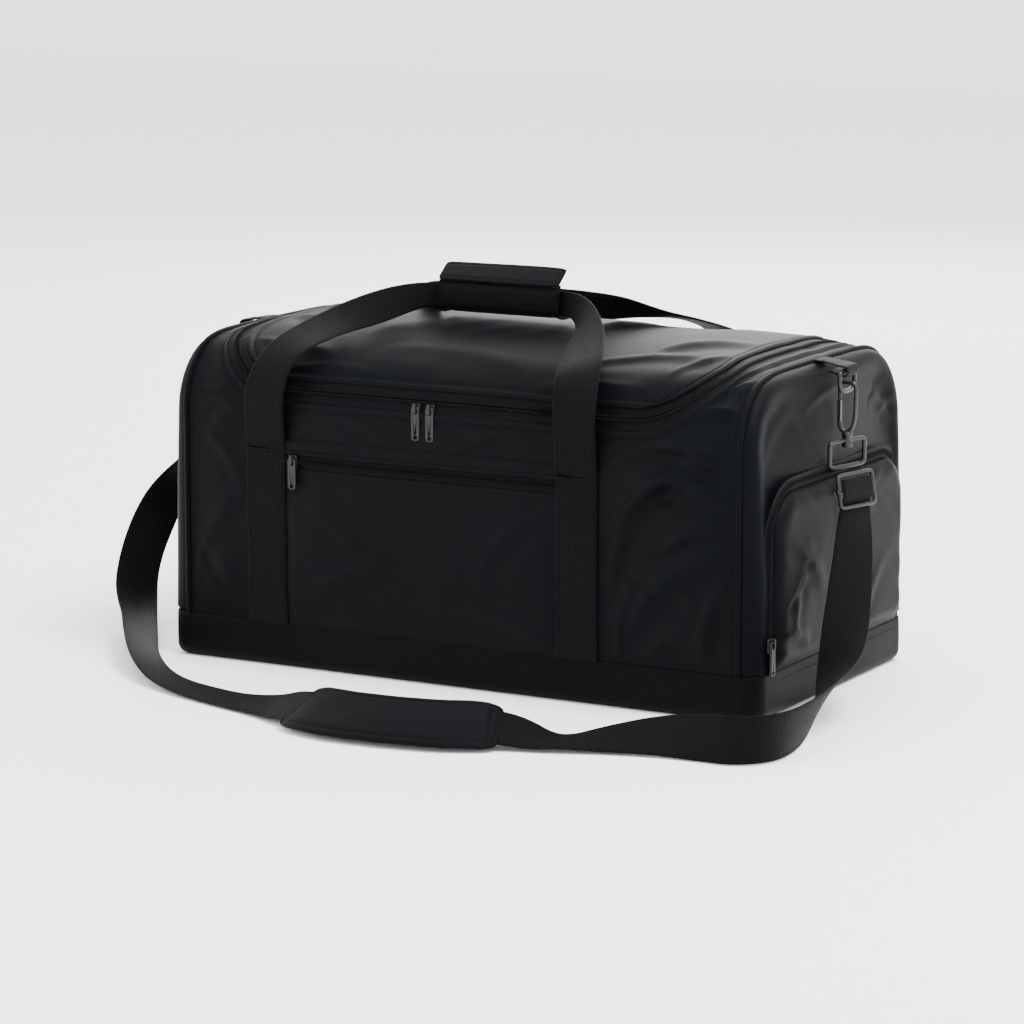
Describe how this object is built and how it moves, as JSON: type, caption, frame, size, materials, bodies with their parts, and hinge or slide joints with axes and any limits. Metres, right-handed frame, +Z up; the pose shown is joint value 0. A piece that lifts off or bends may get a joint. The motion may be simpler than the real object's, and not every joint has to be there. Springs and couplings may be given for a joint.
{
  "type": "duffel bag",
  "caption": "Soft travel duffel bag with a fold-back zip lid, carry handles with a grip wrap, a front zip pocket, an end shoe pocket and a detachable shoulder strap.",
  "frame": {"origin": "middle of the flat underside of the bag's main body, on the floor", "axes": "+X along the bag towards the end with the shoe pocket, +Y towards the rear (the lid's fold), -Y is the front with the zip pocket, +Z up"},
  "size_m": [0.7773, 0.5353, 0.3533],
  "materials": {
    "body_fabric": "matte woven polyester",
    "base_fabric": "coated woven polyester",
    "webbing": "ribbed webbing",
    "piping": "woven binding",
    "zip_tape": "zip tape with coil",
    "padding": "soft padded fabric",
    "zip_metal": "black painted zinc",
    "hardware": "black painted steel",
    "board": "stiff plastic sheet",
    "lining": "thin lining"
  },
  "bodies": {
    "bag_body": {"base_tray": "base_fabric", "base_board": "board", "front_panel": "body_fabric", "rear_panel": "body_fabric", "left_end_panel": "body_fabric", "right_end_panel": "body_fabric", "top_gusset": "body_fabric", "main_zip_body_tape": "zip_tape", "left_end_piping": "piping", "right_end_piping": "piping", "front_left_handle_foot": "webbing", "front_right_handle_foot": "webbing", "rear_left_handle_foot": "webbing", "rear_right_handle_foot": "webbing", "front_pocket_panel": "body_fabric", "front_pocket_zip": "zip_tape", "front_pocket_welt": "body_fabric", "shoe_pocket": "body_fabric", "shoe_pocket_zip": "zip_tape", "inner_slip_pocket": "lining", "left_d_ring_tab": "webbing", "right_d_ring_tab": "webbing", "left_snap_hook": "hardware", "right_snap_hook": "hardware", "left_strap_loop": "hardware", "right_strap_loop": "hardware", "triglide": "hardware", "shoulder_strap_webbing": "webbing", "shoulder_pad": "padding"},
    "lid": {"lid_panel": "body_fabric", "main_zip_lid_tape": "zip_tape"},
    "front_handle": {"front_handle_webbing": "webbing", "grip_wrap": "padding"},
    "grip_flap": {"grip_flap": "padding"},
    "rear_handle": {"rear_handle_webbing": "webbing"},
    "main_zip_left_slider": {"main_zip_left_slider": "zip_metal"},
    "main_zip_left_pull": {"main_zip_left_pull": "zip_metal"},
    "main_zip_right_slider": {"main_zip_right_slider": "zip_metal"},
    "main_zip_right_pull": {"main_zip_right_pull": "zip_metal"},
    "front_pocket_slider": {"front_pocket_slider": "zip_metal"},
    "front_pocket_pull": {"front_pocket_pull": "zip_metal"},
    "shoe_pocket_slider": {"shoe_pocket_slider": "zip_metal"},
    "shoe_pocket_pull": {"shoe_pocket_pull": "zip_metal"},
    "left_d_ring": {"left_d_ring": "hardware"},
    "right_d_ring": {"right_d_ring": "hardware"},
    "left_hook_gate": {"left_snap_hook_gate": "hardware"},
    "right_hook_gate": {"right_snap_hook_gate": "hardware"}
  },
  "joints": [
    {"name": "lid_hinge", "type": "hinge", "parent": "bag_body", "child": "lid", "pos_m": [0, 0.0909, 0.2887], "axis": [-1, 0, 0], "range_deg": [0, 66]},
    {"name": "front_handle_hinge", "type": "hinge", "parent": "bag_body", "child": "front_handle", "pos_m": [0, -0.1535, 0.196], "axis": [1, 0, 0], "range_deg": [0, 140]},
    {"name": "rear_handle_hinge", "type": "hinge", "parent": "bag_body", "child": "rear_handle", "pos_m": [0, 0.1535, 0.196], "axis": [-1, 0, 0], "range_deg": [0, 140]},
    {"name": "grip_flap_hinge", "type": "hinge", "parent": "front_handle", "child": "grip_flap", "pos_m": [0, -0.0275, 0.34], "axis": [1, 0, 0], "range_deg": [0, 110]},
    {"name": "main_zip_left_slide", "type": "slide", "parent": "bag_body", "child": "main_zip_left_slider", "axis": [-1, 0, 0], "range_m": [0, 0.125]},
    {"name": "main_zip_right_slide", "type": "slide", "parent": "bag_body", "child": "main_zip_right_slider", "axis": [1, 0, 0], "range_m": [0, 0.18]},
    {"name": "main_zip_left_pull_swing", "type": "hinge", "parent": "main_zip_left_slider", "child": "main_zip_left_pull", "pos_m": [-0.035, -0.15365, 0.2432], "axis": [-1, 0, 0], "range_deg": [0, 90]},
    {"name": "main_zip_right_pull_swing", "type": "hinge", "parent": "main_zip_right_slider", "child": "main_zip_right_pull", "pos_m": [-0.021, -0.15365, 0.2432], "axis": [-1, 0, 0], "range_deg": [0, 90]},
    {"name": "front_pocket_slide", "type": "slide", "parent": "bag_body", "child": "front_pocket_slider", "axis": [1, 0, 0], "range_m": [0, 0.245]},
    {"name": "front_pocket_pull_swing", "type": "hinge", "parent": "front_pocket_slider", "child": "front_pocket_pull", "pos_m": [-0.158, -0.15745, 0.1887], "axis": [-1, 0, 0], "range_deg": [0, 90]},
    {"name": "shoe_pocket_slide", "type": "slide", "parent": "bag_body", "child": "shoe_pocket_slider", "axis": [0, 0, 1], "range_m": [0, 0.08]},
    {"name": "shoe_pocket_pull_swing", "type": "hinge", "parent": "shoe_pocket_slider", "child": "shoe_pocket_pull", "pos_m": [0.29545, -0.1325, 0.0682], "axis": [0, -1, 0], "range_deg": [0, 90]},
    {"name": "left_d_ring_swing", "type": "hinge", "parent": "bag_body", "child": "left_d_ring", "pos_m": [-0.2995, 0, 0.28], "axis": [0, 1, 0], "range_deg": [0, 5]},
    {"name": "right_d_ring_swing", "type": "hinge", "parent": "bag_body", "child": "right_d_ring", "pos_m": [0.2995, 0, 0.28], "axis": [0, -1, 0], "range_deg": [0, 5]},
    {"name": "left_hook_gate_hinge", "type": "hinge", "parent": "bag_body", "child": "left_hook_gate", "pos_m": [-0.293, 0, 0.235], "axis": [0, -1, 0], "range_deg": [0, 15], "stiffness_Nm_per_rad": 0.02},
    {"name": "right_hook_gate_hinge", "type": "hinge", "parent": "bag_body", "child": "right_hook_gate", "pos_m": [0.293, 0, 0.235], "axis": [0, 1, 0], "range_deg": [0, 15], "stiffness_Nm_per_rad": 0.02}
  ],
  "couplings": [
    {"joint": "front_handle_hinge", "follows": "lid_hinge", "ratio": 2.1},
    {"joint": "rear_handle_hinge", "follows": "lid_hinge", "ratio": 2.1}
  ]
}
